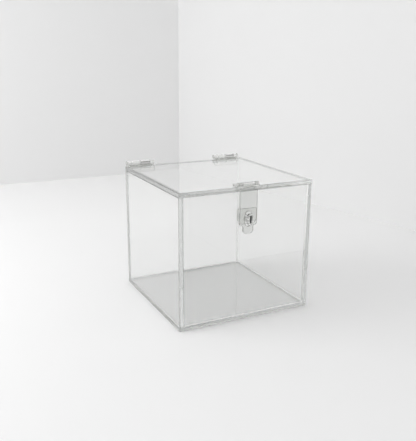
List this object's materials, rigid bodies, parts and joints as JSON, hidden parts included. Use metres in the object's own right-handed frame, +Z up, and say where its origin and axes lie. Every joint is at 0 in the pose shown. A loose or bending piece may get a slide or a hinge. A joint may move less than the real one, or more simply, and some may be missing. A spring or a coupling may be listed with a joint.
{
  "type": "donation box",
  "caption": "Clear acrylic collecting box with an overlaid hinged lid, clear rear hinges and a front hasp: a slotted strap over a turn knob with a keyway.",
  "frame": {"origin": "centre of the base panel's underside, on the surface the box stands on", "axes": "+Z up, -Y out of the front face that carries the hasp, +X to the right seen from the front"},
  "size_m": [0.2, 0.2194, 0.1933],
  "materials": {
    "sheet_acrylic": "clear cast acrylic sheet with polished edges",
    "moulded_clear": "clear injection-moulded plastic",
    "pin_clear": "clear drawn acrylic rod",
    "keyway_black": "black moulded plastic"
  },
  "bodies": {
    "box": {"base_panel": "sheet_acrylic", "front_panel": "sheet_acrylic", "rear_panel": "sheet_acrylic", "left_panel": "sheet_acrylic", "right_panel": "sheet_acrylic", "left_hinge_wall_leaf": "moulded_clear", "left_hinge_pin": "pin_clear", "right_hinge_wall_leaf": "moulded_clear", "right_hinge_pin": "pin_clear", "hasp_base_plate": "moulded_clear"},
    "lid": {"lid_panel": "sheet_acrylic", "left_hinge_lid_leaf": "moulded_clear", "right_hinge_lid_leaf": "moulded_clear", "hasp_lid_leaf": "moulded_clear", "hasp_pin": "pin_clear"},
    "strap": {"hasp_strap": "moulded_clear"},
    "knob": {"hasp_turn_knob": "moulded_clear", "knob_retaining_ring": "pin_clear", "keyway_insert": "keyway_black"}
  },
  "joints": [
    {"name": "lid_hinge", "type": "hinge", "parent": "box", "child": "lid", "pos_m": [0, 0.1035, 0.1895], "axis": [-1, 0, 0], "range_deg": [0, 240]},
    {"name": "strap_hinge", "type": "hinge", "parent": "lid", "child": "strap", "pos_m": [-0.0034, -0.103, 0.189], "axis": [-1, 0, 0], "range_deg": [0, 210]},
    {"name": "knob_turn", "type": "hinge", "parent": "box", "child": "knob", "pos_m": [-0.0034, -0.107, 0.144], "axis": [0, 1, 0], "range_deg": [0, 90]}
  ]
}
